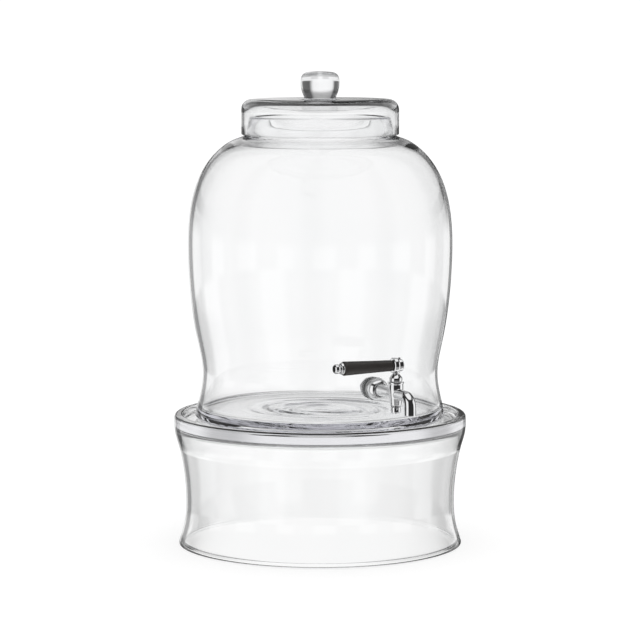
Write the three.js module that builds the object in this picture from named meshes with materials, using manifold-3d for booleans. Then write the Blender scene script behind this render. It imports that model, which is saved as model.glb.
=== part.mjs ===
// Glass drinks dispenser: a tank with a cap lid on an open-bottomed glass stand, with a
// lever tap through the tank's waist. Millimetres, +Z up, the tap faces -Y, and the
// origin is the centre of the footprint on the table.
import * as THREE from 'three';
import { mergeVertices } from 'three/addons/utils/BufferGeometryUtils.js';
import Module from 'manifold-3d';

const wasm = await Module();
wasm.setup();

// ---- driving dimensions ----------------------------------------------------------
const GAP = 0.3;                 // clearance left between neighbouring pieces
const GLASS_SIDES = 40;          // facets round the blown glass
const TAP_SIDES = 20;            // facets round the turned tap pieces
const SMALL_SIDES = 12;          // facets round pins, rings and screws

const STAND_TOP = 131;           // height of the stand's rim
const STAND_RADIUS = 146.2;      // widest part of the stand, just under its rim
const STAND_FLOOR = 126;         // recess that the tank stands in
const STAND_PLATE = 7;           // thickness of the plate under the recess
const STAND_WALL = 4.6;

const TANK_FOOT = STAND_FLOOR;
const TANK_FLOOR = TANK_FOOT + 10;
const TANK_HEEL = 118.4;         // radius inside, where the wall meets the floor
const TANK_WAIST = 117.6;        // radius at the tap
const TANK_BELLY = 131.9;
const TANK_WALL = 4.4;
const NECK_RADIUS = 72.5;        // foot of the neck, which narrows to its rim
const NECK_BORE = 64.5;
const RIM_RADIUS = 70;
const RIM_HEIGHT = 428;          // height of the tank's mouth

const SKIRT_RADIUS = 78.5;       // lid skirt, outside
const SKIRT_WALL = 3.5;
const SKIRT_FOOT = 409.5;
const LID_TOP = 444.5;
const LID_PLATE = 3.6;
const LID_CORNER = 12.5;          // radius of the lid's shoulder, outside
const KNOB_TOP = 472;
const KNOB_RADIUS = 19.3;
const KNOB_NECK = 15.5;
const KNOB_SHOULDER = 8;         // radius that rounds the knob's top

const TAP_HEIGHT = 169;          // axis of the tap's shank
const BARREL_REACH = 159;        // glass axis to valve axis
const SHANK_RADIUS = 7.4;
const SHANK_BORE = 3.6;
const SHANK_END = 60;            // from the valve axis, into the tank
const WALL_HOLE = 8;             // radius of the hole in the tank
const FLANGE_RADIUS = 8.7;
const BELL_RADIUS = 10.6;
const WASHER_RADIUS = 11.2;
const BARREL_TOP = 12;           // from here on, heights are above the shank's axis
const BARREL_FOOT = -11.3;
const SPOUT_RADIUS = 5.6;
const SPOUT_BORE = 4;
const ELBOW_START = 18.5;        // valve axis to the start of the bend
const ELBOW_BEND = 10;
const OUTLET = -17.5;
const STEM_RADIUS = 2.6;
const LEVER_HEIGHT = 27.4;       // axis of the lever
const LEVER_LENGTH = 66.4;
const ROD_RADIUS = 2;
const HUB_START = 4.2;           // valve axis to the hub's face against the grip
const GRIP_LENGTH = 52.2;

const SPOUT_FRONT = BARREL_REACH + ELBOW_START + ELBOW_BEND + SPOUT_RADIUS;
const GLASS_Y = (SPOUT_FRONT - STAND_RADIUS) / 2;    // centres the footprint on the origin

// ---- shape tools -----------------------------------------------------------------
const point = (radius, height) => new THREE.Vector2(radius, height);
const outline = (...pairs) => pairs.map(([radius, height]) => point(radius, height));

// A smooth run through a few chosen points.
const smooth = (pairs, steps) => new THREE.SplineCurve(outline(...pairs)).getPoints(steps);

// A round corner: part of a circle from one angle to another, in degrees.
function corner(radius, height, size, from, to, steps = 3) {
  const turn = THREE.MathUtils.degToRad;
  const arc = new THREE.EllipseCurve(radius, height, size, size, turn(from), turn(to), to < from);
  return arc.getPoints(steps);
}

// The same run moved sideways: to its left for a positive distance.
function shifted(run, distance) {
  return run.map((here, i) => {
    const before = run[Math.max(i - 1, 0)];
    const after = run[Math.min(i + 1, run.length - 1)];
    const along = after.clone().sub(before).normalize();
    return point(here.x - along.y * distance, here.y + along.x * distance);
  });
}

// Position-only geometry with shared corners and no collapsed triangles.
function welded(geometry) {
  geometry.deleteAttribute('normal');
  geometry.deleteAttribute('uv');
  const merged = mergeVertices(geometry, 1e-4);
  const corners = merged.index.array;
  const kept = [];
  for (let i = 0; i < corners.length; i += 3) {
    const [a, b, c] = corners.slice(i, i + 3);
    if (a !== b && b !== c && c !== a) kept.push(a, b, c);
  }
  merged.setIndex(kept);
  return merged;
}

function toManifold(geometry) {
  const closed = welded(geometry);
  return new wasm.Manifold(new wasm.Mesh({
    numProp: 3,
    vertProperties: new Float32Array(closed.attributes.position.array),
    triVerts: new Uint32Array(closed.index.array),
  }));
}

function fromManifold(solid) {
  const mesh = solid.getMesh();
  const geometry = new THREE.BufferGeometry();
  geometry.setAttribute('position', new THREE.BufferAttribute(mesh.vertProperties, 3));
  geometry.setIndex(new THREE.BufferAttribute(mesh.triVerts, 1));
  return geometry;
}

function joined(first, ...others) {
  return fromManifold(others.reduce((sum, next) => sum.add(toManifold(next)), toManifold(first)));
}

function cut(blank, ...tools) {
  return fromManifold(tools.reduce((rest, tool) => rest.subtract(toManifold(tool)), toManifold(blank)));
}

// Turned pieces. A profile is (radius, distance along the axis), with its outside going up.
function turnedZ(profile, sides) {
  return welded(new THREE.LatheGeometry(profile, sides).rotateX(Math.PI / 2));
}

// Along +Y: a profile distance is how far towards the tank.
function turnedY(profile, sides) {
  return welded(new THREE.LatheGeometry(profile, sides));
}

// Along -X: a profile distance is how far out along the lever.
function turnedX(profile, sides) {
  return welded(new THREE.LatheGeometry(profile, sides).rotateZ(Math.PI / 2));
}

const loop = (run) => [...run, run[0].clone()];
const rod = (radius, from, to) => outline([0, from], [radius, from], [radius, to], [0, to]);
const ring = (inner, outer, from, to) =>
  loop(outline([inner, from], [outer, from], [outer, to], [inner, to]));

// ---- materials -------------------------------------------------------------------
const glass = new THREE.MeshStandardMaterial({
  color: 0xeef2f4, roughness: 0.03, metalness: 0, transparent: true, opacity: 0.3,
});
const chrome = new THREE.MeshStandardMaterial({ color: 0xd4d6d8, roughness: 0.08, metalness: 1 });
const steel = new THREE.MeshStandardMaterial({ color: 0xa9abad, roughness: 0.3, metalness: 1 });
const gripBlack = new THREE.MeshStandardMaterial({ color: 0x3c3836, roughness: 0.45, metalness: 0 });
const clearSeal = new THREE.MeshStandardMaterial({ color: 0xe4e6e6, roughness: 0.4, metalness: 0 });
const blackSeal = new THREE.MeshStandardMaterial({ color: 0x1c1c1e, roughness: 0.6, metalness: 0 });

function piece(name, geometry, material) {
  const mesh = new THREE.Mesh(geometry, material);
  mesh.name = name;
  return mesh;
}

// ---- glass -----------------------------------------------------------------------
function stand() {
  const wall = smooth([
    [142, 0.8], [139.4, 9.2], [136.1, 22], [134.5, 42], [135.9, 66.3], [138.6, 85],
    [142.4, 101.5], [145.4, 112.5], [STAND_RADIUS, 122.5],
  ], 13);
  const inner = shifted(wall.slice(1, 11), STAND_WALL).reverse();
  const underside = STAND_FLOOR - STAND_PLATE;
  const lipInner = STAND_RADIUS - 8;
  return turnedZ([
    ...outline([141.2, 0]),
    ...wall,
    ...corner(STAND_RADIUS - 4, STAND_TOP - 4, 4, 0, 90),
    ...corner(lipInner, STAND_TOP - 2, 2, 90, 180),
    ...outline([lipInner - 3.5, STAND_FLOOR], [0, STAND_FLOOR], [0, underside]),
    ...outline([inner[0].x - 6, underside], [inner[0].x - 1, underside - 5]),
    ...inner,
    ...outline([137.6, 0], [141.2, 0]),
  ], GLASS_SIDES);
}

// The tank's outside from its heel to the foot of its neck.
const tankWall = smooth([
  [125.2, 130], [120.9, 147.5], [TANK_WAIST, 171.8], [122.5, 204], [127.9, 236.3],
  [131.4, 278], [TANK_BELLY, 304], [128.6, 340.4], [118, 372.3], [99.1, 396.1], [83.8, 405.7],
], 18);

function tank() {
  const inner = shifted(tankWall, TANK_WALL).filter((p) => p.y > TANK_FLOOR + 6).reverse();
  const throat = smooth([[NECK_BORE, 416], [66, 409.5], [70.5, 405.6], [76, 403.6]], 3);
  const lip = (RIM_RADIUS - NECK_BORE) / 2;
  const body = turnedZ([
    ...outline([0, TANK_FOOT + 1.6], [108, TANK_FOOT + 1.6], [112, TANK_FOOT], [121.5, TANK_FOOT]),
    ...tankWall,
    ...outline([77, 407.4], [73.4, 408.6], [NECK_RADIUS, 411]),
    ...corner(NECK_BORE + lip, RIM_HEIGHT - lip, lip, 0, 180, 4),
    ...throat,
    ...inner,
    ...outline([TANK_HEEL, TANK_FLOOR + 2.4], [TANK_HEEL - 3, TANK_FLOOR], [0, TANK_FLOOR]),
  ], GLASS_SIDES);
  const drill = turnedY(rod(WALL_HOLE, -BARREL_REACH, -TANK_WAIST + 30), TAP_SIDES);
  return cut(body, drill.translate(0, 0, TAP_HEIGHT));
}

function lid() {
  const inside = SKIRT_RADIUS - SKIRT_WALL;
  const underside = LID_TOP - LID_PLATE;
  const fillet = LID_CORNER - SKIRT_WALL;
  const shoulder = KNOB_TOP - KNOB_SHOULDER;
  return turnedZ([
    ...outline([0, underside]),
    ...corner(inside - fillet, underside - fillet, fillet, 90, 0),
    ...outline([inside, SKIRT_FOOT + 1.2], [inside + 1.2, SKIRT_FOOT], [SKIRT_RADIUS - 1, SKIRT_FOOT]),
    ...outline([SKIRT_RADIUS, SKIRT_FOOT + 1]),
    ...corner(SKIRT_RADIUS - LID_CORNER, LID_TOP - LID_CORNER, LID_CORNER, 0, 90, 5),
    ...outline([KNOB_NECK + 1, LID_TOP], [KNOB_NECK, LID_TOP + 1.4], [KNOB_NECK + 0.5, LID_TOP + 3.4]),
    ...outline([KNOB_RADIUS - 0.9, LID_TOP + 9], [KNOB_RADIUS, shoulder - 4]),
    ...corner(KNOB_RADIUS - KNOB_SHOULDER, shoulder - 0.6, KNOB_SHOULDER, 10, 90, 5),
    ...outline([0, KNOB_TOP]),
  ], GLASS_SIDES);
}

// ---- tap -------------------------------------------------------------------------
// The tap's own frame: the valve axis is its Z, the shank's axis is at height 0, and
// +Y points at the tank.

// A shell round the tank's wall, a gap wider on both faces, that shapes the washers to it.
function wallClearance() {
  const near = tankWall.filter((p) => Math.abs(p.y - TAP_HEIGHT) < 40);
  const outside = shifted(near, -GAP);
  const inside = shifted(near, TANK_WALL + GAP).reverse();
  const shell = turnedZ(loop([...outside, ...inside]), GLASS_SIDES);
  return shell.translate(0, BARREL_REACH, -TAP_HEIGHT);
}

// The spout's centre line: forward from the barrel, round the elbow and down.
class SpoutPath extends THREE.Curve {
  constructor(start, end) {
    super();
    this.start = start;
    this.bend = (ELBOW_BEND * Math.PI) / 2;
    this.straight = ELBOW_START - start;
    this.drop = -ELBOW_BEND - end;
  }

  getPoint(t, target = new THREE.Vector3()) {
    const travel = t * (this.straight + this.bend + this.drop);
    if (travel <= this.straight) return target.set(0, -this.start - travel, 0);
    if (travel >= this.straight + this.bend) {
      const fallen = travel - this.straight - this.bend;
      return target.set(0, -ELBOW_START - ELBOW_BEND, -ELBOW_BEND - fallen);
    }
    const angle = (travel - this.straight) / ELBOW_BEND;
    return target.set(
      0, -ELBOW_START - ELBOW_BEND * Math.sin(angle), -ELBOW_BEND * (1 - Math.cos(angle)),
    );
  }
}

function spoutTube(radius, start, end) {
  const section = new THREE.Shape().absarc(0, 0, radius, 0, 2 * Math.PI);
  return welded(new THREE.ExtrudeGeometry(section, {
    steps: 12, curveSegments: SMALL_SIDES / 2, bevelEnabled: false,
    extrudePath: new SpoutPath(start, end),
  }));
}

// The plug's seat tapers, so the plug wedges down into it.
const SEAT = { top: 6.5, topRadius: 5.2, foot: -9.4, footRadius: 4 };
const MOUTH_RADIUS = 5.6;        // counterbore for the bonnet nut's spigot
const MOUTH_FLOOR = 9;
const STUD_RADIUS = 2;           // plug's threaded tail
const STUD_HOLE = STUD_RADIUS + GAP;

function tapBody() {
  const barrel = turnedZ([
    ...outline([0, BARREL_FOOT], [4.9, BARREL_FOOT], [5.5, BARREL_FOOT + 0.8]),
    ...outline([6.3, -4], [7.2, 5], [7.2, 9.6], [7.7, 10.4], [7.7, BARREL_TOP - 0.6]),
    ...outline([7.1, BARREL_TOP], [0, BARREL_TOP]),
  ], TAP_SIDES);
  const shank = turnedY([
    ...outline([0, 2], [5, 2], [4.9, 14], [5.2, 24], [6, 30]),
    ...outline([6, 36.4], [FLANGE_RADIUS, 36.4], [FLANGE_RADIUS, 37.7], [SHANK_RADIUS, 37.7]),
    ...outline([SHANK_RADIUS, SHANK_END - 1], [SHANK_RADIUS - 1, SHANK_END], [0, SHANK_END]),
  ], TAP_SIDES);
  const seat = turnedZ(outline(
    [0, SEAT.foot], [SEAT.footRadius, SEAT.foot], [SEAT.topRadius, SEAT.top],
    [SEAT.topRadius, MOUTH_FLOOR], [MOUTH_RADIUS, MOUTH_FLOOR],
    [MOUTH_RADIUS, BARREL_TOP + 1], [0, BARREL_TOP + 1],
  ), TAP_SIDES);
  const studHole = turnedZ(rod(STUD_HOLE, BARREL_FOOT - 1, SEAT.foot + 1), SMALL_SIDES);
  const inlet = turnedY(rod(SHANK_BORE, 1, SHANK_END + 1), SMALL_SIDES);
  return cut(
    joined(barrel, shank, spoutTube(SPOUT_RADIUS, 2, OUTLET)),
    seat, studHole, inlet, spoutTube(SPOUT_BORE, 1, OUTLET - 1),
  );
}

// Bell-shaped cover over the body's flange.
function escutcheon() {
  const rim = 38.2;
  return turnedY(loop([
    ...outline([6.3, 30.4], [7.4, 30.4]),
    ...smooth([[8.3, 31.2], [9.9, 33.6], [BELL_RADIUS, 37]], 5),
    ...outline([BELL_RADIUS, rim], [BELL_RADIUS - 1.2, rim]),
    ...outline([BELL_RADIUS - 1.3, 36], [8.8, 34.1], [7.5, 32.2], [6.3, 31.6]),
  ]), TAP_SIDES);
}

function outerWasher() {
  const blank = turnedY(ring(SHANK_RADIUS + 0.2, WASHER_RADIUS, 38.5, 43.5), TAP_SIDES);
  return cut(blank, wallClearance());
}

function innerWasher() {
  const blank = turnedY(ring(SHANK_RADIUS + 0.2, WASHER_RADIUS - 0.4, 44.5, 49), TAP_SIDES);
  return cut(blank, wallClearance());
}

const backPlate = () => turnedY(ring(SHANK_RADIUS + 0.2, WASHER_RADIUS, 49 + GAP, 50.6), TAP_SIDES);

function lockNut() {
  const start = 50.6 + GAP;
  const depth = 6;
  const hexagon = turnedY(rod(WASHER_RADIUS - 1, start, start + depth), 6);
  const bore = turnedY(rod(SHANK_RADIUS + 0.2, start - 1, start + depth + 1), TAP_SIDES);
  return cut(hexagon.rotateY(Math.PI / 6), bore);
}

// Tapered plug with its cross bore along X, which shuts the tap, and grooves for two seals.
const PLUG_GROOVES = [4.4, -6.8];
const GROOVE_HALF = 0.8;
const plugRadius = (height) => THREE.MathUtils.mapLinear(
  height, SEAT.foot, SEAT.top, SEAT.footRadius - GAP, SEAT.topRadius - GAP,
);

function valvePlug() {
  const groove = (height) => {
    const [below, above] = [height - GROOVE_HALF, height + GROOVE_HALF];
    const floor = plugRadius(height) - 1;
    return [[plugRadius(below), below], [floor, below], [floor, above], [plugRadius(above), above]];
  };
  const plug = turnedZ(outline(
    [0, -18], [STUD_RADIUS - 0.4, -18], [STUD_RADIUS, -17.6], [STUD_RADIUS, SEAT.foot + GAP],
    [plugRadius(SEAT.foot + GAP), SEAT.foot + GAP],
    ...groove(PLUG_GROOVES[1]), ...groove(PLUG_GROOVES[0]),
    [plugRadius(SEAT.top), SEAT.top], [STEM_RADIUS, SEAT.top],
    [STEM_RADIUS, LEVER_HEIGHT - 3], [0, LEVER_HEIGHT - 3],
  ), TAP_SIDES);
  const bore = turnedX(rod(2.6, -8, 8), SMALL_SIDES);
  return cut(plug, bore.translate(0, 0, -1), stemPinHole());
}

// A round-section ring that lies in a plug groove.
function plugSeal(height) {
  const size = 0.5;
  const centre = plugRadius(height) - 0.35;
  return turnedZ(loop(corner(centre, height, size, 0, 300, 5)), SMALL_SIDES);
}

function bonnetNut() {
  const bore = STEM_RADIUS + GAP;
  return turnedZ(loop(outline(
    [3.9, MOUTH_FLOOR + 1], [MOUTH_RADIUS - GAP, MOUTH_FLOOR + 1], [MOUTH_RADIUS - GAP, BARREL_TOP + GAP],
    [6.1, BARREL_TOP + GAP], [6.15, BARREL_TOP + 3.5], [5.6, BARREL_TOP + 4.1], [3.5, 18.8],
    [bore, 18.8], [bore, 12.6], [3.9, 12.6],
  )), TAP_SIDES);
}

const stemPacking = () => turnedZ(ring(STEM_RADIUS + 0.2, 3.7, SEAT.top + GAP, 12.4), TAP_SIDES);

const WASHER_TOP = BARREL_FOOT - GAP;
const bottomWasher = () => turnedZ(ring(STUD_HOLE, 4.8, WASHER_TOP - 0.8, WASHER_TOP), TAP_SIDES);

// Round retaining nut with a screwdriver slot across its foot.
function bottomNut() {
  const top = WASHER_TOP - 0.8 - GAP;
  const foot = -18.6;
  const nut = turnedZ(loop(outline(
    [STUD_HOLE, foot], [3.4, foot], [4.6, foot + 1.2], [4.65, top], [STUD_HOLE, top],
  )), TAP_SIDES);
  const slot = new THREE.BoxGeometry(1.6, 12, 3.2).translate(0, 0, foot);
  return cut(nut, slot);
}

// ---- lever -----------------------------------------------------------------------
// Its frame has the lever's axis at height 0. At rest the lever points along -X.
const STEM_PIN = { radius: 0.8, height: -4.6, half: 5.2 };
const SCREW = { radius: 1.2, along: -3.8, top: 7.4 };

function stemPinHole() {
  const hole = turnedY(rod(STEM_PIN.radius + 0.15, -9, 9), SMALL_SIDES);
  return hole.translate(0, 0, LEVER_HEIGHT + STEM_PIN.height);
}

function leverHead() {
  const hub = turnedX([
    ...outline([0, -6.5], [5, -6.5], [6, -5.7], [6, -1.6]),
    ...outline([7.4, -1], [7.4, HUB_START - 0.6], [6.8, HUB_START], [0, HUB_START]),
  ], TAP_SIDES);
  const foot = turnedZ(outline([0, -7.3], [3.6, -7.3], [4.2, -5], [0, -5]), TAP_SIDES);
  const stemSocket = turnedZ(rod(STEM_RADIUS + GAP / 2, -9, -2.7), TAP_SIDES);
  const rodSocket = turnedX(rod(ROD_RADIUS + GAP / 2, -5.4, HUB_START + 1), SMALL_SIDES);
  const screwHole = turnedZ(rod(SCREW.radius + GAP / 2, 1, 9), SMALL_SIDES);
  return cut(
    joined(hub, foot), stemSocket, rodSocket, screwHole.translate(-SCREW.along, 0, 0),
    stemPinHole().translate(0, 0, -LEVER_HEIGHT),
  );
}

const leverRod = () => turnedX(rod(ROD_RADIUS, -5.1, LEVER_LENGTH - 3.2), SMALL_SIDES);

const GRIP_START = HUB_START + GAP;
const GRIP_END = GRIP_START + GRIP_LENGTH;
const ROD_HOLE = ROD_RADIUS + GAP / 2;

function grip() {
  return turnedX(loop([
    ...outline([ROD_HOLE, GRIP_START], [4.9, GRIP_START], [5.25, GRIP_START + 0.8]),
    ...smooth([[5.4, 15], [6.1, 35], [6.8, GRIP_END - 2.4]], 4),
    ...outline([6.5, GRIP_END - 0.6], [5.8, GRIP_END], [ROD_HOLE, GRIP_END]),
  ]), TAP_SIDES);
}

const RING_END = GRIP_END + GAP + 3.2;

function endRing() {
  return turnedX(loop(outline(
    [ROD_HOLE, GRIP_END + GAP], [5.6, GRIP_END + GAP], [5.9, GRIP_END + 1.2],
    [5.4, RING_END - 0.9], [4.2, RING_END], [ROD_HOLE, RING_END],
  )), TAP_SIDES);
}

function finial() {
  const start = RING_END + GAP;
  const end = LEVER_LENGTH;
  const shoulder = start + 1.8;
  const bore = turnedX(rod(ROD_HOLE, start - 1, end - 2.8), SMALL_SIDES);
  const knob = turnedX(outline(
    [0, start], [3.2, start], [3.1, shoulder], [4.5, shoulder + 0.7], [4.65, end - 1.4], [3.9, end - 0.3],
    [0, end],
  ), TAP_SIDES);
  return cut(knob, bore);
}

function headScrew() {
  const screw = turnedZ(rod(SCREW.radius, ROD_RADIUS + 0.2, SCREW.top), SMALL_SIDES);
  return screw.translate(-SCREW.along, 0, 0);
}

function stemPin() {
  const pin = turnedY(rod(STEM_PIN.radius, -STEM_PIN.half, STEM_PIN.half), SMALL_SIDES);
  return pin.translate(0, 0, STEM_PIN.height);
}

// ---- assembly --------------------------------------------------------------------
const lever = new THREE.Group();
lever.position.z = LEVER_HEIGHT;
lever.add(
  piece('lever_head', leverHead(), chrome),
  piece('lever_rod', leverRod(), steel),
  piece('lever_grip', grip(), gripBlack),
  piece('grip_end_ring', endRing(), chrome),
  piece('lever_finial', finial(), chrome),
  piece('head_screw', headScrew(), steel),
  piece('stem_pin', stemPin(), steel),
);

const tap = new THREE.Group();
tap.position.set(0, GLASS_Y - BARREL_REACH, TAP_HEIGHT);
tap.add(
  piece('tap_body', tapBody(), chrome),
  piece('escutcheon', escutcheon(), chrome),
  piece('outer_washer', outerWasher(), clearSeal),
  piece('inner_washer', innerWasher(), clearSeal),
  piece('back_plate', backPlate(), steel),
  piece('lock_nut', lockNut(), steel),
  piece('valve_plug', valvePlug(), steel),
  ...['plug_seal_upper', 'plug_seal_lower'].map(
    (name, i) => piece(name, plugSeal(PLUG_GROOVES[i]), blackSeal),
  ),
  piece('bonnet_nut', bonnetNut(), chrome),
  piece('stem_packing', stemPacking(), blackSeal),
  piece('bottom_washer', bottomWasher(), steel),
  piece('bottom_nut', bottomNut(), chrome),
  lever,
);

const glassware = new THREE.Group();
glassware.position.y = GLASS_Y;
glassware.add(piece('stand', stand(), glass), piece('tank', tank(), glass), piece('lid', lid(), glass));

const dispenser = new THREE.Group();
dispenser.add(glassware, tap);
export default dispenser;
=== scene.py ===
"""Looks of the glass drinks dispenser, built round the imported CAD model. Metres, +Z up.

Outlines are written in millimetres, as (radius, height) pairs about each piece's own axis.
"""
import math

import bmesh
import bpy
import numpy as np
from mathutils import Matrix, Vector


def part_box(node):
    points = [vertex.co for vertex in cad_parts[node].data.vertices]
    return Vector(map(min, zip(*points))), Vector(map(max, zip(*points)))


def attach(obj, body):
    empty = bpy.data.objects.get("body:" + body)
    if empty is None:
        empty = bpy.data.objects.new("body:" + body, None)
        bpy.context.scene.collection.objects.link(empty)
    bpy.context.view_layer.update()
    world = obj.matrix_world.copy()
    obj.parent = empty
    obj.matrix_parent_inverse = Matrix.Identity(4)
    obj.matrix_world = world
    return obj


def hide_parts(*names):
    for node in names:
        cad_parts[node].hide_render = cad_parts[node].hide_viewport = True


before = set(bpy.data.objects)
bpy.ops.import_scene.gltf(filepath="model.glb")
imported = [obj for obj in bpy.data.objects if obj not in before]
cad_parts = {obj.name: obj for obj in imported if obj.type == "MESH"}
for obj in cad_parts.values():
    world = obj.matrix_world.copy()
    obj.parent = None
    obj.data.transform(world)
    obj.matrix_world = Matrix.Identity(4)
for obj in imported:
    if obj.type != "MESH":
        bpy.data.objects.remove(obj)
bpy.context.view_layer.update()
scene = bpy.context.scene

MM = 0.001
WELD = 0.004 * MM            # corners closer than this are made one after a cut
CAST_GRAIN = 0.3 * MM        # finest detail that a cast body keeps
CAST_SOFTENING = 8           # passes that round a casting's joins
GLASS_SIDES = 256
TAP_SIDES = 72
PIPE_SIDES = 48
FINE_SIDES = 32
CREASE = 40                  # degrees past which a turned metal edge stays crisp

# ---- places, from the frame --------------------------------------------------------


def middle(node):
    low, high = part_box(node)
    return (low + high) / 2


glass_axis = Vector((0, middle("stand").y, 0))
_, stand_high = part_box("stand")
tank_low, tank_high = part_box("tank")
lid_low, lid_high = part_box("lid")
valve = Vector((0, middle("bonnet_nut").y, middle("escutcheon").z))
lever_axis = Vector((valve.x, valve.y, middle("lever_rod").z))
TOWARDS_TANK = (0, 1, 0)
ALONG_LEVER = (-1, 0, 0)

# ---- camera ------------------------------------------------------------------------
PHOTO_HEADING = 27           # degrees from +Y towards +X, the way the camera looks
CAMERA_AZIMUTH = math.radians(-PHOTO_HEADING)
CAMERA_TILT = math.radians(6.3)
CAMERA_DISTANCE = 2.9
CAMERA_LENS = 163.1
LOOK_HEIGHT = 0.2242


def make_camera():
    camera = bpy.data.objects.new("camera", bpy.data.cameras.new("camera"))
    scene.collection.objects.link(camera)
    back = Vector((
        math.sin(CAMERA_AZIMUTH) * math.cos(CAMERA_TILT),
        -math.cos(CAMERA_AZIMUTH) * math.cos(CAMERA_TILT),
        math.sin(CAMERA_TILT),
    ))
    camera.location = glass_axis + Vector((0, 0, LOOK_HEIGHT)) + back * CAMERA_DISTANCE
    camera.rotation_mode = "QUATERNION"
    camera.rotation_quaternion = (-back).to_track_quat("-Z", "Y")
    camera.data.lens = CAMERA_LENS
    camera.data.sensor_width = 36
    camera.data.clip_start = 0.1
    camera.data.clip_end = 100
    scene.camera = camera


make_camera()

# ---- outline tools -----------------------------------------------------------------


def spline(points, steps):
    """A natural cubic curve through the points, with no kinks in its curvature."""
    knots = np.array(points, float)
    lengths = np.linalg.norm(np.diff(knots, axis=0), axis=1)
    at = np.concatenate([[0], np.cumsum(lengths)])
    count = len(knots)
    matrix = np.zeros((count, count))
    wanted = np.zeros((count, 2))
    matrix[0, 0] = matrix[-1, -1] = 1
    for i in range(1, count - 1):
        before, after = lengths[i - 1], lengths[i]
        matrix[i, i - 1:i + 2] = before, 2 * (before + after), after
        wanted[i] = 6 * ((knots[i + 1] - knots[i]) / after - (knots[i] - knots[i - 1]) / before)
    bend = np.linalg.solve(matrix, wanted)
    curve = []
    for travel in np.linspace(0, at[-1], steps + 1):
        i = min(int(np.searchsorted(at, travel, "right")) - 1, count - 2)
        span, left, right = lengths[i], at[i + 1] - travel, travel - at[i]
        curve.append(tuple(
            bend[i] * left**3 / (6 * span) + bend[i + 1] * right**3 / (6 * span)
            + (knots[i] / span - bend[i] * span / 6) * left
            + (knots[i + 1] / span - bend[i + 1] * span / 6) * right
        ))
    return curve


def rounded(points, steps=5):
    """Rounds each corner that has a third number, its radius."""
    outline = []
    for i, point in enumerate(points):
        here = Vector(point[:2])
        if len(point) < 3 or i in (0, len(points) - 1):
            outline.append(tuple(here))
            continue
        into = (Vector(points[i - 1][:2]) - here)
        out = (Vector(points[i + 1][:2]) - here)
        half = into.angle(out) / 2
        reach = min(point[2] / math.tan(half), 0.49 * into.length, 0.49 * out.length)
        size = reach * math.tan(half)
        centre = here + (into.normalized() + out.normalized()).normalized() * size / math.sin(half)
        start = here + into.normalized() * reach - centre
        end = here + out.normalized() * reach - centre
        for step in range(steps + 1):
            mixed = start.slerp(end, step / steps) if start.angle(end) > 1e-4 else start
            outline.append(tuple(centre + mixed.normalized() * size))
    return outline


def shifted(curve, distance):
    """The curve moved to its left by a distance."""
    points = np.array(curve)
    along = np.gradient(points, axis=0)
    along /= np.linalg.norm(along, axis=1)[:, None]
    return [tuple(p) for p in points + np.stack([-along[:, 1], along[:, 0]], 1) * distance]


# ---- mesh tools --------------------------------------------------------------------


def mesh_object(name, points, faces):
    mesh = bpy.data.meshes.new(name)
    mesh.from_pydata([tuple(p) for p in points], [], faces)
    mesh.validate()
    mesh.shade_smooth()
    piece = bpy.data.objects.new(name, mesh)
    scene.collection.objects.link(piece)
    return piece


def outward(piece):
    """Turns the faces outwards, judged by the enclosed volume."""
    mesh = piece.data
    mesh.calc_loop_triangles()
    points = [v.co for v in mesh.vertices]
    volume = sum(
        points[a].dot(points[b].cross(points[c]))
        for a, b, c in (t.vertices for t in mesh.loop_triangles)
    )
    if volume < 0:
        mesh.flip_normals()
    return piece


def turned(name, outline, origin, axis=(0, 0, 1), sides=TAP_SIDES, ring=False, sharp=None):
    """A turned piece. Its outline runs from axis to axis, or round a closed ring."""
    direction = Vector(axis).normalized()
    across = direction.orthogonal().normalized()
    other = direction.cross(across)
    points, rows = [], []
    for radius, along in outline:
        centre = Vector(origin) + direction * along * MM
        if radius < 1e-6 and not ring:
            rows.append([len(points)] * sides)
            points.append(centre)
            continue
        rows.append(list(range(len(points), len(points) + sides)))
        for k in range(sides):
            angle = 2 * math.pi * k / sides
            spoke = across * math.cos(angle) + other * math.sin(angle)
            points.append(centre + spoke * radius * MM)
    faces = []
    pairs = list(zip(rows, rows[1:])) + ([(rows[-1], rows[0])] if ring else [])
    for low, high in pairs:
        for k in range(sides):
            n = (k + 1) % sides
            corners = [low[k], low[n], high[n], high[k]]
            face = [c for i, c in enumerate(corners) if c != corners[i - 1]]
            if len(face) > 2:
                faces.append(face)
    piece = outward(mesh_object(name, points, faces))
    if sharp:
        piece.data.set_sharp_from_angle(angle=math.radians(sharp))
    return piece


def swept(name, route, radii, sides=PIPE_SIDES):
    """A round tube with closed ends along a route in the YZ plane."""
    points, faces = [], []
    count = len(route)
    for i, here in enumerate(route):
        along = (route[min(i + 1, count - 1)] - route[max(i - 1, 0)]).normalized()
        side = Vector((1, 0, 0))
        up = along.cross(side)
        for k in range(sides):
            angle = 2 * math.pi * k / sides
            points.append(here + (side * math.cos(angle) + up * math.sin(angle)) * radii[i])
    for i in range(count - 1):
        for k in range(sides):
            n = (k + 1) % sides
            faces.append([i * sides + k, i * sides + n, (i + 1) * sides + n, (i + 1) * sides + k])
    faces.append(list(range(sides)))
    faces.append(list(range((count - 1) * sides, count * sides)))
    piece = mesh_object(name, points, faces)
    return outward(piece)


def apply_modifiers(piece):
    graph = bpy.context.evaluated_depsgraph_get()
    finished = bpy.data.meshes.new_from_object(piece.evaluated_get(graph))
    piece.modifiers.clear()
    piece.data = finished
    return piece


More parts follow.
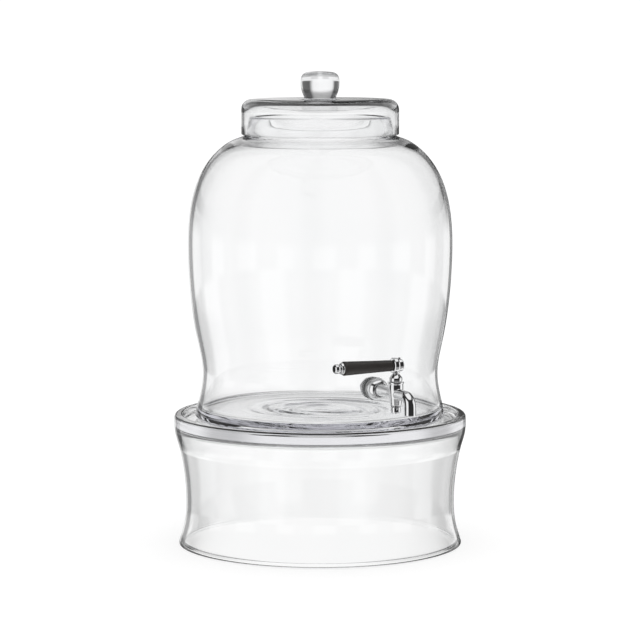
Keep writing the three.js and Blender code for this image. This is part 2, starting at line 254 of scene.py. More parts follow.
def carve(piece, *cutters, operation="DIFFERENCE"):
    """Cuts a piece with closed shapes and welds the slivers that the cuts leave."""
    for cutter in cutters:
        cut = piece.modifiers.new("cut", "BOOLEAN")
        cut.operation = operation
        cut.solver = "EXACT"
        cut.object = cutter
    bpy.context.view_layer.update()
    apply_modifiers(piece)
    for cutter in cutters:
        bpy.data.objects.remove(cutter)
    mesh = bmesh.new()
    mesh.from_mesh(piece.data)
    bmesh.ops.dissolve_degenerate(mesh, dist=WELD, edges=mesh.edges)
    bmesh.ops.remove_doubles(mesh, verts=mesh.verts, dist=WELD)
    bmesh.ops.holes_fill(mesh, edges=mesh.edges, sides=0)
    mesh.to_mesh(piece.data)
    mesh.free()
    return piece


def fused(name, pieces):
    """Several closed shapes made into one cast body with softened joins."""
    body = pieces[0]
    body.name = name
    with bpy.context.temp_override(
        active_object=body, selected_editable_objects=pieces, selected_objects=pieces
    ):
        bpy.ops.object.join()
    remesh = body.modifiers.new("remesh", "REMESH")
    remesh.mode = "VOXEL"
    remesh.voxel_size = CAST_GRAIN
    remesh.use_smooth_shade = True
    soften = body.modifiers.new("soften", "SMOOTH")
    soften.factor = 0.5
    soften.iterations = CAST_SOFTENING
    bpy.context.view_layer.update()
    return apply_modifiers(body)


def dressed(piece, body, slot, material, *nodes):
    """Gives a finished piece its material and its body, and hides the CAD nodes it stands for. The
    slot is not used.
    """
    piece.data.materials.clear()
    piece.data.materials.append(material)
    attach(piece, body)
    if nodes:
        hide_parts(*nodes)
    return piece


# ---- materials ---------------------------------------------------------------------


class Shader:
    """A short way to write a node tree: add() makes a node, sets it and returns it."""

    def __init__(self, name):
        self.material = bpy.data.materials.new(name)
        self.material.use_nodes = True
        self.tree = self.material.node_tree
        self.tree.nodes.clear()
        self.output = self.add("ShaderNodeOutputMaterial")

    def add(self, kind, settings=None, **inputs):
        node = self.tree.nodes.new(kind)
        for key, value in (settings or {}).items():
            setattr(node, key, value)
        for key, value in inputs.items():
            socket = node.inputs[key.replace("_", " ")]
            if isinstance(value, bpy.types.NodeSocket):
                self.tree.links.new(value, socket)
            else:
                socket.default_value = value
        return node

    def noise(self, scale, detail=3, stretch=(1, 1, 1), roughness=0.5):
        place = self.add("ShaderNodeTexCoord")
        mapping = self.add("ShaderNodeMapping", Vector=place.outputs["Object"], Scale=stretch)
        return self.add(
            "ShaderNodeTexNoise", Vector=mapping.outputs["Vector"], Scale=scale, Detail=detail,
            Roughness=roughness,
        ).outputs["Fac"]

    def ramp(self, value, *stops):
        """Stops are (position, grey) or (position, colour)."""
        node = self.add("ShaderNodeValToRGB", Fac=value)
        elements = node.color_ramp.elements
        while len(elements) < len(stops):
            elements.new(0.5)
        for element, (position, colour) in zip(elements, stops):
            element.position = position
            grey = isinstance(colour, (int, float))
            element.color = (colour,) * 3 + (1,) if grey else (*colour, 1)
        return node.outputs["Color"]

    def bump(self, height, distance, strength=1.0):
        return self.add(
            "ShaderNodeBump", Height=height, Distance=distance, Strength=strength
        ).outputs["Normal"]

    def surface(self, **inputs):
        node = self.add("ShaderNodeBsdfPrincipled", **inputs)
        self.tree.links.new(node.outputs["BSDF"], self.output.inputs["Surface"])
        return self

    def absorb(self, colour, density):
        node = self.add("ShaderNodeVolumeAbsorption", Color=(*colour, 1), Density=density)
        self.tree.links.new(node.outputs["Volume"], self.output.inputs["Volume"])
        return self


def blown_glass(name, density, wave):
    """Clear glass with a faint grey depth, slow hand-made waves and a trace of handling haze."""
    s = Shader(name)
    slow = s.noise(14, 1, (1, 1, 0.45))
    haze = s.ramp(s.noise(60, 4), (0.4, 0.0), (0.8, 0.003))
    tone = s.ramp(s.noise(9, 2), (0.3, (0.985, 0.99, 0.99)), (0.7, (1.0, 1.0, 1.0)))
    return s.surface(
        Base_Color=tone, Roughness=haze, IOR=1.5, Transmission_Weight=1.0,
        Normal=s.bump(slow, wave),
    ).absorb((0.68, 0.68, 0.74), density).material


def chrome_plate():
    s = Shader("chrome_plate")
    tone = s.ramp(s.noise(220, 3), (0.3, (0.80, 0.805, 0.815)), (0.7, (0.90, 0.90, 0.905)))
    finish = s.ramp(s.noise(400, 4, (1, 1, 3)), (0.35, 0.035), (0.75, 0.11))
    return s.surface(
        Base_Color=tone, Metallic=1.0, Roughness=finish, Normal=s.bump(s.noise(900, 2), 0.00001),
    ).material


def machined_steel():
    s = Shader("machined_steel")
    tone = s.ramp(s.noise(300, 3), (0.3, (0.52, 0.52, 0.53)), (0.7, (0.68, 0.68, 0.69)))
    lines = s.noise(700, 2, (0.2, 4, 0.2))
    return s.surface(
        Base_Color=tone, Metallic=1.0, Roughness=s.ramp(lines, (0.3, 0.22), (0.7, 0.38)),
        Normal=s.bump(lines, 0.00003),
    ).material


def grip_resin():
    """Brown-black moulded grip: slightly mottled, with fine lengthwise drag lines."""
    s = Shader("grip_resin")
    tone = s.ramp(
        s.noise(90, 5, (0.25, 1, 1)),
        (0.25, (0.016, 0.013, 0.012)), (0.55, (0.024, 0.020, 0.018)), (0.8, (0.036, 0.029, 0.026)),
    )
    lines = s.noise(900, 3, (0.08, 1, 1))
    return s.surface(
        Base_Color=tone, Roughness=s.ramp(lines, (0.3, 0.36), (0.7, 0.52)), IOR=1.5,
        Coat_Weight=0.15, Coat_Roughness=0.2, Normal=s.bump(lines, 0.00004),
    ).material


def silicone():
    s = Shader("clear_silicone")
    tone = s.ramp(s.noise(250, 3), (0.3, (0.80, 0.81, 0.81)), (0.7, (0.90, 0.90, 0.90)))
    return s.surface(
        Base_Color=tone, Roughness=s.ramp(s.noise(500, 3), (0.3, 0.3), (0.7, 0.5)), IOR=1.41,
        Transmission_Weight=0.7, Normal=s.bump(s.noise(700, 2), 0.00003),
    ).material


def black_rubber():
    s = Shader("black_rubber")
    tone = s.ramp(s.noise(300, 3), (0.3, 0.02), (0.7, 0.04))
    return s.surface(
        Base_Color=tone, Roughness=s.ramp(s.noise(500, 3), (0.3, 0.5), (0.7, 0.7)),
        Normal=s.bump(s.noise(900, 3), 0.00003),
    ).material


tank_glass_look = blown_glass("tank_glass_look", 6, 0.00004)
stand_glass_look = blown_glass("stand_glass_look", 1.5, 0.00004)
lid_glass_look = blown_glass("lid_glass_look", 4, 0.00003)
chrome = chrome_plate()
steel = machined_steel()
resin = grip_resin()
clear_seal = silicone()
black_seal = black_rubber()

# ---- glass -------------------------------------------------------------------------
SEAT_GAP = 0.2                       # air between the tank's foot and the stand
STAND_PLATE = 7.0
STAND_WALL = 4.6
STAND_FILLET = 5                     # radius under the plate, where it meets the wall
LID_TOP = 444.5
LID_PLATE = 3.8
SKIRT_WALL = 3.5
TAP_HOLE = 8                         # radius of the hole in the tank
TANK_FLOOR = 136.0
RIPPLE_CENTRE = Vector((4, -6, 0)) * MM              # from the glass axis
RIPPLE_END = 92.0                    # the floor's rings fade out by this radius
RIPPLE_LENGTH = 21.0
RIPPLE_DEPTH = 1.2


def stand_outline():
    top = stand_high.z / MM
    widest = stand_high.x / MM
    floor = tank_low.z / MM
    lip = widest - 8.0
    wall = spline([
        (142.0, 1.0), (139.4, 9.2), (136.1, 22), (134.5, 42), (135.9, 66.3), (138.6, 85),
        (142.4, 101.5), (145.4, 112.5), (widest, 122.5),
    ], 70)
    inner = shifted(wall, STAND_WALL)[:58][::-1]      # stops short of the flare under the rim
    under = floor - STAND_PLATE
    return [
        *[(radius, under) for radius in np.linspace(0, inner[0][0] - 18, 30)],
        *rounded([
            (inner[0][0] - 17, under), (inner[0][0] + 0.4, under, STAND_FILLET), inner[2],
        ], 10)[1:-1],
        *inner[2:-3],
        *rounded([
            (inner[-1][0], 5.0), (135.9, 3.0, 1.5), (135.9, 0.0, 0.8), (141.8, 0.0, 0.9),
            (142.0, 1.0),
        ])[1:-1],
        *wall,
        *rounded([
            (widest, 123.5), (widest - 0.3, top, 3.4), (lip, top, 2.4), (lip - 3.0, floor, 3.0),
            (lip - 20, floor),
        ], 8)[1:],
        *[(radius, floor) for radius in np.linspace(lip - 24, 0, 30)],
    ]


def tank_outline():
    foot = tank_low.z / MM + SEAT_GAP
    rim = tank_high.z / MM
    neck, lip, bore = 72.5, 70.0, 64.5
    wall = spline([
        (125.2, 130.0), (120.9, 147.5), (117.6, 171.8), (122.5, 204), (127.9, 236.3),
        (131.4, 278), (131.9, 304), (128.6, 340.4), (118, 372.3), (99.1, 396.1), (83.8, 405.4),
        (77.4, 407.6), (73.6, 410.2), (neck, 415),
    ], 150)
    inside = spline([
        (bore, 416), (66, 409.8), (70.5, 405.6), (79.5, 402.2), (97, 392.4), (114.2, 369.8),
        (124.3, 339.2), (127.5, 304), (127, 278), (123.5, 236.3), (118.1, 205), (113.2, 171.8),
        (116.3, 148.5), (117.6, 143.2),
    ], 150)
    return [
        (0, foot + 2.2),
        *[(radius, foot + 2.2) for radius in np.linspace(4, 100, 24)],
        *rounded([
            (102, foot + 2.2), (108, foot + 2.1, 6), (113, foot, 3), (122, foot, 3), (125.0, 129.0),
        ], 6)[1:-1],
        *wall,
        *rounded([(neck, 415), (lip, rim, 2.7), (bore, rim, 2.7), (bore, 418)], 10)[1:-1],
        *inside,
        *rounded([(117.9, 142.2), (119.2, TANK_FLOOR, 4.5), (100, TANK_FLOOR)], 10)[1:-1],
        *[(radius, TANK_FLOOR) for radius in np.linspace(100, 4, 60)],
        (0, TANK_FLOOR),
    ]


def lid_outline():
    top = LID_TOP
    under = top - LID_PLATE
    foot = lid_low.z / MM
    outside = lid_high.x / MM
    inside = outside - SKIRT_WALL
    crown = lid_high.z / MM
    return [
        *[(radius, under) for radius in np.linspace(0, inside - 20, 16)],
        *rounded([(inside - 19, under), (inside, under, 9), (inside, foot + 6)], 10)[1:-1],
        (inside, foot + 10),
        *rounded([
            (inside, foot + 5), (inside, foot, 1.6), (outside, foot, 1.4), (outside, foot + 8),
        ])[1:-1],
        (outside, foot + 12),
        *rounded([
            (outside, foot + 14), (outside, top, 12.5), (50, top + 0.1), (24, top + 0.1),
            (15.4, top + 0.2, 2.2), (15.9, top + 2.4),
        ], 10)[1:-1],
        *spline([
            (15.9, top + 2.4), (17.6, top + 6.5), (19.1, top + 12.5), (19.3, top + 18.0),
            (18.2, top + 23.0), (15.2, top + 25.9), (10.5, top + 27.1), (0, crown + 0.1),
        ], 48),
    ]


def ripple_floor(piece):
    """Presses the maker's slow, uneven rings into the tank's floor."""
    centre = glass_axis + RIPPLE_CENTRE
    for vertex in piece.data.vertices:
        if abs(vertex.co.z - TANK_FLOOR * MM) > 1e-5:
            continue
        x, y, _ = vertex.co - centre
        radius, turn = math.hypot(x, y) / MM, math.atan2(y, x)
        if radius > RIPPLE_END:
            continue
        fade = math.sin(math.pi * radius / RIPPLE_END) ** 2
        warp = 3.5 * math.sin(2 * turn + 0.7) + 2.0 * math.sin(3 * turn + radius / 16)
        swell = 0.65 + 0.35 * math.sin(2 * turn - radius / 12)
        ring = math.sin(2 * math.pi * (radius + warp) / RIPPLE_LENGTH)
        vertex.co.z += RIPPLE_DEPTH * fade * swell * ring * MM


def make_glass():
    stand = turned("stand_glass", stand_outline(), glass_axis, sides=GLASS_SIDES)
    dressed(stand, "stand", "glass", stand_glass_look, "stand")

    tank = turned("tank_glass", tank_outline(), glass_axis, sides=GLASS_SIDES)
    ripple_floor(tank)
    carve(tank, turned(
        "drill", [(0, 30), (TAP_HOLE, 30), (TAP_HOLE, 70), (0, 70)], valve, TOWARDS_TANK, sides=64,
    ))
    tank.data.set_sharp_from_angle(angle=math.radians(50))
    dressed(tank, "tank", "glass", tank_glass_look, "tank")

    lid = turned("lid_glass", lid_outline(), glass_axis, sides=GLASS_SIDES)
    dressed(lid, "lid", "glass", lid_glass_look, "lid")


make_glass()

# ---- tap ---------------------------------------------------------------------------
# Distances run from the valve axis: along the shank towards the tank, along the lever outwards.
TANK_WAIST = 117.6
TANK_WALL = 4.4
WASHER_GAP = 0.12                    # air between a soft washer and the glass
WAIST_CURVE = 160                    # the waist's radius grows by height squared over this
SPOUT_STRAIGHT = 18.5                # valve axis to the start of the elbow
SPOUT_BEND = 10.0
RING_BORE = 7.6                      # hole in the washers and nuts on the shank
THREAD_BORE = 6.85                   # the thread's sleeve starts just inside the shank's skin
THREAD_ROWS = 10                     # rows of corners in one turn of thread


def spout_route(start, end, steps=40):
    """From the valve axis forward, round the elbow and down, in metres."""
    bend = SPOUT_BEND
    lengths = [SPOUT_STRAIGHT - start, bend * math.pi / 2, -bend - end]
    route = []
    for travel in np.linspace(0, sum(lengths), steps):
        if travel <= lengths[0]:
            forward, up = start + travel, 0.0
        elif travel <= lengths[0] + lengths[1]:
            angle = (travel - lengths[0]) / bend
            forward, up = SPOUT_STRAIGHT + bend * math.sin(angle), -bend * (1 - math.cos(angle))
        else:
            forward, up = SPOUT_STRAIGHT + bend, -bend - (travel - lengths[0] - lengths[1])
        route.append(valve + Vector((0, -forward, up)) * MM)
    return route


def make_casting():
    barrel = turned("barrel", rounded([
        (0, -11.3), (5.4, -11.3, 0.8), (6.2, -4, 6), (7.3, 5, 6), (7.2, 9.2, 0.6), (7.8, 10.2, 0.5),
        (7.8, 11.9, 0.6), (0, 12),
    ]), valve)
    neck = turned("neck", rounded([
        (0, 1), (5.6, 1), (4.9, 10, 6), (5.0, 20, 8), (6.1, 30, 4), (6.1, 38.2), (0, 38.2),
    ]), valve, TOWARDS_TANK)
    shank = turned("shank", [
        (0, 36), (6.8, 36), (6.8, 59.4), (6.2, 60), (0, 60),
    ], valve, TOWARDS_TANK)
    route = spout_route(2, -17.5)
    grow = np.linspace(5.1, 5.75, len(route)) * MM
    spout = swept("spout", route, grow)
    body = fused("tap_casting", [barrel, neck, shank, spout])
    seat = turned("seat", [
        (0, -9.4), (4, -9.4), (5.2, 6.5), (5.2, 9), (5.7, 9), (5.7, 13), (0, 13),
    ], valve)
    tail = turned("tail", [(0, -13), (2.3, -13), (2.3, -8), (0, -8)], valve)
    inlet = turned("inlet", [(0, 1), (3.6, 1), (3.6, 62), (0, 62)], valve, TOWARDS_TANK)
    bore_route = spout_route(1, -19)
    bore = swept("bore", bore_route, [4.1 * MM] * len(bore_route))
    carve(body, seat, tail, inlet, bore)
    body.data.set_sharp_from_angle(angle=math.radians(CREASE))
    dressed(body, "tank", "chrome", chrome, "tap_body")


def make_thread(name, outside, depth, pitch, start, end, sides=60):
    """A sleeve with a helical ridge, about the shank's axis."""
    rows = int((end - start) / pitch * THREAD_ROWS)
    points, faces = [], []

    def corner(k, radius, along):
        angle = 2 * math.pi * k / sides
        offset = Vector((radius * math.cos(angle), along, radius * math.sin(angle)))
        points.append(valve + offset * MM)

    for i in range(rows + 1):
        along = start + (end - start) * i / rows
        fade = min(1, (along - start) / pitch, (end - along) / pitch)
        for k in range(sides):
            phase = (along / pitch - k / sides) % 1
            corner(k, outside - depth * fade * abs(2 * phase - 1), along)
    inner = len(points)
    for along in (start, end):
        for k in range(sides):
            corner(k, THREAD_BORE, along)
    for k in range(sides):
        n = (k + 1) % sides
        for i in range(rows):
            low, high = i * sides, (i + 1) * sides
            faces.append([low + k, low + n, high + n, high + k])
        last = rows * sides
        faces.append([inner + k, inner + n, n, k])
        faces.append([last + k, last + n, inner + sides + n, inner + sides + k])
        faces.append([inner + sides + k, inner + sides + n, inner + n, inner + k])
    piece = outward(mesh_object(name, points, faces))
    piece.data.set_sharp_from_angle(angle=math.radians(CREASE))
    return piece


def ring_outline(inner, outer, start, end, edge=0.25):
    return rounded([
        ((inner + outer) / 2, start), (outer, start, edge), (outer, end, edge), (inner, end, edge),
        (inner, start, edge), ((inner + outer) / 2, start),
    ], 3)[:-1]


def wall_at(x, z):
    """Millimetres from the valve axis to the tank's outside, beside the tap."""
    radius = TANK_WAIST + (z * z) / WAIST_CURVE
    reach = glass_axis.y / MM - valve.y / MM
    return reach - math.sqrt(radius * radius - x * x)


def make_washer(name, outer, flat, past_skin, *nodes):
    """A soft washer with one flat face and one face that follows the glass."""
    piece = turned(name, ring_outline(RING_BORE, outer, 0, 1, 0.2), valve, TOWARDS_TANK, ring=True)
    for vertex in piece.data.vertices:
        local = (vertex.co - valve) / MM
        glass = wall_at(local.x, local.z) + past_skin
        vertex.co.y = valve.y + (flat + (glass - flat) * local.y) * MM
    outward(piece)
    piece.data.set_sharp_from_angle(angle=math.radians(CREASE))
    dressed(piece, "tank", "clear_seal", clear_seal, *nodes)


def hexagon(name, across, hole, start, end, origin, axis):
    """A nut: six flats with turned, chamfered corners."""
    corner = across / math.sqrt(3)
    prism = [(0, start), (corner, start), (corner, end), (0, end)]
    nut = turned(name, prism, origin, axis, sides=6)
    blank = turned("chamfer", rounded([
        (0, start), (across / 2, start), (corner + 0.2, start + 1.4), (corner + 0.2, end - 1.4),
        (across / 2, end), (0, end),
    ]), origin, axis, sides=96)
    carve(nut, blank, operation="INTERSECT")
    carve(nut, turned(
        "hole", [(0, start - 1), (hole, start - 1), (hole, end + 1), (0, end + 1)], origin, axis,
    ))
    nut.data.set_sharp_from_angle(angle=math.radians(30))
    return nut


def make_fittings():
    bell = turned("bell_cover", [
        *rounded([(6.35, 31.4), (6.35, 30.2, 0.3), (7.3, 30.3, 0.8), (8.3, 31.0)], 4),
        *spline([(8.7, 31.5), (10.0, 33.3), (10.6, 35.6), (10.7, 37.6)], 12),
        *rounded([(10.7, 37.9), (10.7, 38.4, 0.3), (9.6, 38.4, 0.3), (9.5, 36.4)], 3)[1:],
        (8.7, 34.3), (7.5, 32.2),
    ], valve, TOWARDS_TANK, ring=True, sharp=CREASE)
    dressed(bell, "tank", "chrome", chrome, "escutcheon")
    make_washer("outer_gasket", 11.3, 38.6, -WASHER_GAP, "outer_washer")
    make_washer("inner_gasket", 10.9, 49.0, TANK_WALL + WASHER_GAP, "inner_washer")
    plate = turned(
        "clamp_plate", ring_outline(RING_BORE, 11.2, 49.2, 50.6), valve, TOWARDS_TANK, ring=True,
        sharp=CREASE,
    )
    dressed(plate, "tank", "steel", steel, "back_plate")
    nut = hexagon("clamp_nut", 17.6, RING_BORE, 50.8, 56.8, valve, TOWARDS_TANK)
    dressed(nut, "tank", "steel", steel, "lock_nut")
    thread = make_thread("shank_thread", 7.5, 0.6, 1.4, 46.2, 59.2)
    dressed(thread, "tank", "chrome", chrome)

    bonnet = turned("bonnet", rounded([
        (4.4, 12.2), (6.2, 12.2, 0.3), (6.3, 15.4, 0.5), (5.6, 16.4, 1.0), (3.9, 18.6, 1.2),
        (3.4, 19.2, 0.3), (2.75, 19.2, 0.2), (2.75, 12.4), (4.4, 12.2),
    ], 5)[:-1], valve, ring=True, sharp=CREASE)
    dressed(bonnet, "tank", "chrome", chrome, "bonnet_nut")

    foot = turned("foot_nut", rounded([
        (3.5, -18.6), (4.1, -18.6, 0.6), (4.7, -17.2, 0.8), (4.75, -12.6, 0.3), (2.3, -12.6),
        (2.3, -18.6), (3.5, -18.6),
    ], 5)[:-1], valve, ring=True)
    slot = mesh_object("slot", [
        valve + Vector((x, y, z)) * MM for x in (-0.9, 0.9) for y in (-6, 6) for z in (-20, -16.6)
    ], [[0, 1, 3, 2], [4, 6, 7, 5], [0, 4, 5, 1], [2, 3, 7, 6], [0, 2, 6, 4], [1, 5, 7, 3]])
    carve(foot, outward(slot))
    foot.data.set_sharp_from_angle(angle=math.radians(30))
    dressed(foot, "lever", "chrome", chrome, "bottom_nut")


def make_lever():
    head = turned("hub", rounded([
        (0, -6.4), (5.2, -6.4, 0.8), (6.0, -5.6, 0.6), (6.0, -1.7, 0.2), (5.3, -1.4, 0.15),
        (7.3, -1.0, 0.3), (7.5, 0.2, 0.6), (7.5, 3.4, 0.6), (6.6, 4.2, 0.4), (0, 4.2),
    ], 4), lever_axis, ALONG_LEVER, sharp=CREASE)
    carve(head, turned(
        "socket", [(0, -9), (2.75, -9), (2.75, -2.7), (0, -2.7)], lever_axis,
    ), turned(
        "rod_socket", [(0, -5.3), (2.15, -5.3), (2.15, 6), (0, 6)], lever_axis, ALONG_LEVER,
    ))
    head.data.set_sharp_from_angle(angle=math.radians(CREASE))
    dressed(head, "lever", "chrome", chrome, "lever_head")
    boss = turned("hub_boss", rounded([
        (2.8, -7.4), (3.7, -7.4, 0.4), (4.4, -4.6, 1), (2.8, -4.6),
    ], 4), lever_axis, ring=True, sharp=CREASE)
    dressed(boss, "lever", "chrome", chrome)
    grip = turned("grip", [
        *rounded([(2.2, 4.6), (4.9, 4.6, 0.5), (5.3, 5.6)], 4),
        *spline([(5.35, 6.4), (5.55, 17), (6.1, 35), (6.75, 54.2)], 30),
        *rounded([(6.8, 54.8), (6.75, 56.6, 1.0), (5.4, 56.7), (2.2, 56.7)], 5)[1:],
    ], lever_axis, ALONG_LEVER, ring=True, sharp=50)
    dressed(grip, "lever", "grip_black", resin, "lever_grip")
    collar = turned("end_collar", rounded([
        (4, 57.0), (5.8, 57.0, 0.4), (6.0, 58.1, 0.8), (5.2, 59.6, 0.8), (4.2, 60.0, 0.4),
        (2.2, 60.0), (2.2, 57.0), (4, 57.0),
    ], 4)[:-1], lever_axis, ALONG_LEVER, ring=True, sharp=CREASE)
    dressed(collar, "lever", "chrome", chrome, "grip_end_ring")
    knob = turned("finial", rounded([
        (0, 60.2), (3.3, 60.2, 0.2), (3.1, 61.0, 0.5), (4.3, 61.5, 0.5), (4.7, 62.8, 1.2),
        (4.6, 65.2, 1.2), (3.4, 66.3, 0.7), (0, 66.4),
    ], 5), lever_axis, ALONG_LEVER, sharp=50)
    dressed(knob, "lever", "chrome", chrome, "lever_finial")
    screw_place = lever_axis + Vector((middle("head_screw").x - lever_axis.x, 0, 0))
    screw = turned("hub_screw", rounded([
        (0, 2.3), (1.2, 2.3), (1.2, 7.2, 0.2), (0.6, 7.4), (0.6, 6.2), (0, 6.2),
    ], 3), screw_place, sides=FINE_SIDES, sharp=CREASE)
    dressed(screw, "lever", "steel", steel, "head_screw")


make_casting()
make_fittings()
make_lever()

# Hidden pieces keep their CAD shape and take the shop finishes.
CARRIED = {
    "valve_plug": steel, "bottom_washer": steel, "lever_rod": steel, "stem_pin": steel,
    "plug_seal_upper": black_seal, "plug_seal_lower": black_seal, "stem_packing": black_seal,
}
for node, look in CARRIED.items():
    for material_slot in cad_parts[node].material_slots:
        material_slot.material = look

# ---- studio ------------------------------------------------------------------------
# Headings are in degrees from +Y towards +X. A height is the Z of a ray's direction.
FLOOR_RADIUS = 1.5
FLOOR_DROP = 0.0004          # keeps the paper clear of the glass that rests on it
WINDOWS = 5                  # bright windows round the tent, with dark flags between them
WINDOW_MIDDLE = 20
SOFTBOXES = ((108, 26), (262, 22))      # middle and half width
SOFTBOX_EDGE = 4
PAPER_WHITE = 1.08


def make_floor():
    rim = [
        (FLOOR_RADIUS * math.cos(a), FLOOR_RADIUS * math.sin(a), 0)
        for a in np.linspace(0, 2 * math.pi, 96, endpoint=False)
    ]
    floor = mesh_object("floor", rim, [list(range(len(rim)))])
    floor.location = glass_axis - Vector((0, 0, FLOOR_DROP))
    floor.visible_glossy = False
    floor.visible_transmission = False
    s = Shader("floor_paper")
    tone = s.ramp(s.noise(3, 2), (0.3, 0.38), (0.7, 0.40))
    s.surface(
        Base_Color=tone, Roughness=0.9, Specular_IOR_Level=0.0,
        Emission_Color=(1, 1, 1, 1), Emission_Strength=0.68,
    )
    floor.data.materials.append(s.material)


class WorldShader(Shader):
    """A node tree for the world, where every value is a number or a socket."""

    def __init__(self, name):
        world = bpy.data.worlds.new(name)
        world.use_nodes = True
        self.tree = world.node_tree
        self.tree.nodes.clear()
        self.output = self.add("ShaderNodeOutputWorld")
        scene.world = world

    def plug(self, socket, value):
        if isinstance(value, bpy.types.NodeSocket):
            self.tree.links.new(value, socket)
        else:
            socket.default_value = value

    def math(self, operation, first, second=0.0):
        node = self.add("ShaderNodeMath", {"operation": operation})
        self.plug(node.inputs[0], first)
        self.plug(node.inputs[1], second)
        return node.outputs["Value"]

    def product(self, first, *others):
        for other in others:
            first = self.math("MULTIPLY", first, other)
        return first

    def highest(self, first, *others):
        for other in others:
            first = self.math("MAXIMUM", first, other)
        return first

    def darkened(self, light, *shades):
        """The light that is left once the strongest of the shades is taken off."""
        return self.product(light, self.math("SUBTRACT", 1.0, self.highest(*shades)))

    def fade(self, value, start, end, low, high):
        """Goes smoothly from low to high as value goes from start to end."""
        node = self.add("ShaderNodeMapRange", {"interpolation_type": "SMOOTHSTEP"}, Value=value)
        names = ("From Min", "From Max", "To Min", "To Max")
        for name, number in zip(names, (start, end, low, high)):
            node.inputs[name].default_value = number
        return node.outputs["Result"]

    def choose(self, condition, no, yes):
        node = self.add("ShaderNodeMix", {"data_type": "FLOAT"})
        self.plug(node.inputs["Factor"], condition)
        self.plug(node.inputs["A"], no)
        self.plug(node.inputs["B"], yes)
        return node.outputs["Result"]


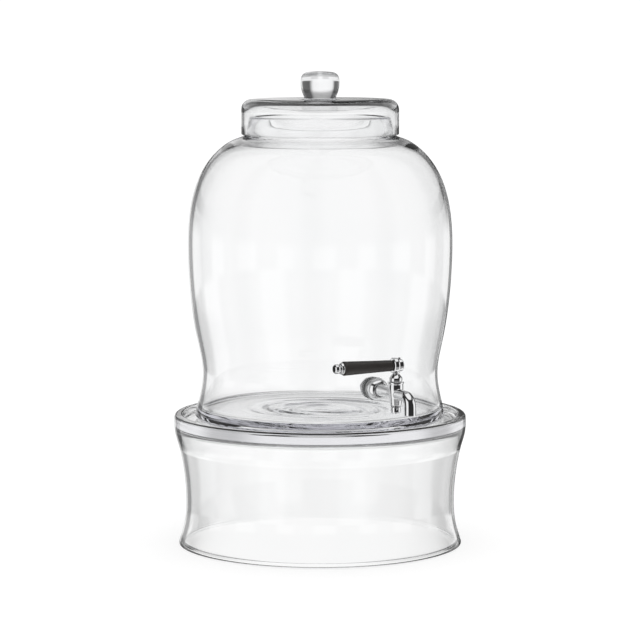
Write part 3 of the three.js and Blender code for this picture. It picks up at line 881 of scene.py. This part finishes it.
def make_world():
    """A white tent. What is seen through a whole vessel is the plain backdrop. Thick edges see
    the tent's dark flags, ceiling and ground, and the metal sees two softboxes in a dim room."""
    w = WorldShader("studio_tent")
    direction = w.add("ShaderNodeTexCoord").outputs["Generated"]
    parts = w.add("ShaderNodeSeparateXYZ", Vector=direction)
    height = parts.outputs["Z"]
    heading = w.product(w.math("ARCTAN2", parts.outputs["X"], parts.outputs["Y"]), 180 / math.pi)

    def past(middle_heading, spacing):
        """Signed degrees from the nearest of a ring of headings to the ray's heading."""
        turned_heading = w.math("ADD", heading, 720 - middle_heading + spacing / 2)
        return w.math("SUBTRACT", w.math("MODULO", turned_heading, spacing), spacing / 2)

    def away_from(middle_heading, spacing=360):
        return w.math("ABSOLUTE", past(middle_heading, spacing))

    spacing = 360 / WINDOWS
    lean = past(WINDOW_MIDDLE, spacing)
    off = w.math("ABSOLUTE", lean)
    astray = away_from(PHOTO_HEADING)

    # Seen straight through: the backdrop, the ground under it, and its grey sides.
    backdrop = w.product(w.fade(off, 5, 30, 1.05, 0.92), w.fade(height, 0.2, 0.6, 1.0, 0.6))
    ground = w.darkened(backdrop, w.product(
        w.highest(w.fade(lean, 7, 17, 0.03, 0.6), w.fade(lean, -3, 6, 0.4, 0.03)),
        w.fade(height, -0.175, -0.145, 1.0, 0.0),
    ))
    clear = w.darkened(backdrop, w.product(
        w.highest(w.fade(lean, 8, 14, 0.035, 0.25), w.fade(lean, -1, 5, 0.25, 0.035)),
        w.fade(height, -0.16, -0.115, 1.0, 0.0),
        w.fade(astray, 16, 22, 1.0, 0.0),
    ))

    # Seen in thick glass: flags once the light has turned back, soft grey where it is tangled.
    high_flag = w.highest(
        w.fade(away_from(39, spacing), 8, 12, 0.85, 0.0),
        w.fade(away_from(5, spacing), 6, 11, 0.7, 0.0),
    )
    low_flag = w.fade(away_from(34, spacing), 8, 16, 0.0, 0.9)
    flag = w.choose(w.fade(height, -0.16, -0.14, 1.0, 0.0), high_flag, low_flag)
    flags = w.product(
        w.math("SUBTRACT", 1.0, flag),
        w.fade(height, -0.07, 0.02, 1.0, 0.02),
        w.fade(height, -0.7, -0.45, 0.1, 1.0),
    )
    solid = w.product(clear, w.fade(height, 0.15, 0.3, 1.0, 0.45), w.highest(
        w.fade(away_from(WINDOW_MIDDLE, 90), 20, 32, 1.0, 0.12),
        w.fade(height, -0.1, -0.06, 1.0, 0.0),
    ))
    veil = w.product(w.fade(off, 20, 33, 0.95, 0.6), w.fade(height, 0.1, 0.5, 1.0, 0.5))

    # Mirrored on the outside of the glass: the tent, its dark sides and its dark horizon.
    sides = w.highest(
        w.fade(away_from(40), 10, 16, 0.85, 0.0), w.fade(away_from(0), 5, 10, 0.7, 0.0),
    )
    horizon = w.product(
        w.fade(w.math("ABSOLUTE", w.math("SUBTRACT", height, 0.085)), 0.03, 0.05, 0.9, 0.0),
        w.fade(astray, 40, 80, 1.0, 0.0),
    )
    tent = w.darkened(w.fade(astray, 20, 160, 0.9, 0.4), sides, horizon)

    # Mirrored in the metal: the floor, a high light, two softboxes and a screen behind.
    boxes = [
        w.product(
            w.fade(away_from(middle_heading), width - SOFTBOX_EDGE, width + SOFTBOX_EDGE, 1.0, 0.0),
            w.fade(height, 0.5, 0.6, 1.0, 0.0),
        )
        for middle_heading, width in SOFTBOXES
    ]
    screen = w.product(
        w.fade(astray, 14, 22, 1.0, 0.0),
        w.fade(w.math("ABSOLUTE", height), 0.25, 0.4, 1.0, 0.1),
    )
    room = w.highest(
        w.fade(height, -0.4, -0.2, 0.35, 0.03), w.fade(height, 0.75, 0.85, 0, 1), *boxes, screen,
    )

    # A ray crosses two surfaces in one wall, and four in the two walls of a vessel.
    path = w.add("ShaderNodeLightPath")
    crossed = path.outputs["Transmission Depth"]
    bounces = path.outputs["Glossy Depth"]
    bounced = w.math("GREATER_THAN", bounces, 0.5)
    one_wall = w.math("LESS_THAN", crossed, 3.5)
    vessel = w.choose(w.math("LESS_THAN", crossed, 4.5), ground, clear)
    inside = w.choose(
        one_wall, w.choose(bounced, vessel, veil), w.choose(bounced, solid, flags),
    )
    inside = w.choose(w.math("GREATER_THAN", bounces, 2.5), inside, veil)
    mirrored = w.choose(path.outputs["Is Singular Ray"], room, tent)
    seen = w.choose(w.math("LESS_THAN", crossed, 0.5), inside, mirrored)
    plain = w.highest(path.outputs["Is Camera Ray"], path.outputs["Is Diffuse Ray"])
    level = w.choose(plain, seen, PAPER_WHITE)
    light = w.add("ShaderNodeBackground", Color=(1, 1, 1, 1), Strength=level)
    w.tree.links.new(light.outputs["Background"], w.output.inputs["Surface"])


make_floor()
make_world()
scene.view_settings.view_transform = "Standard"
scene.cycles.max_bounces = 24
scene.cycles.transmission_bounces = 24
scene.cycles.glossy_bounces = 12
scene.cycles.use_denoising = True
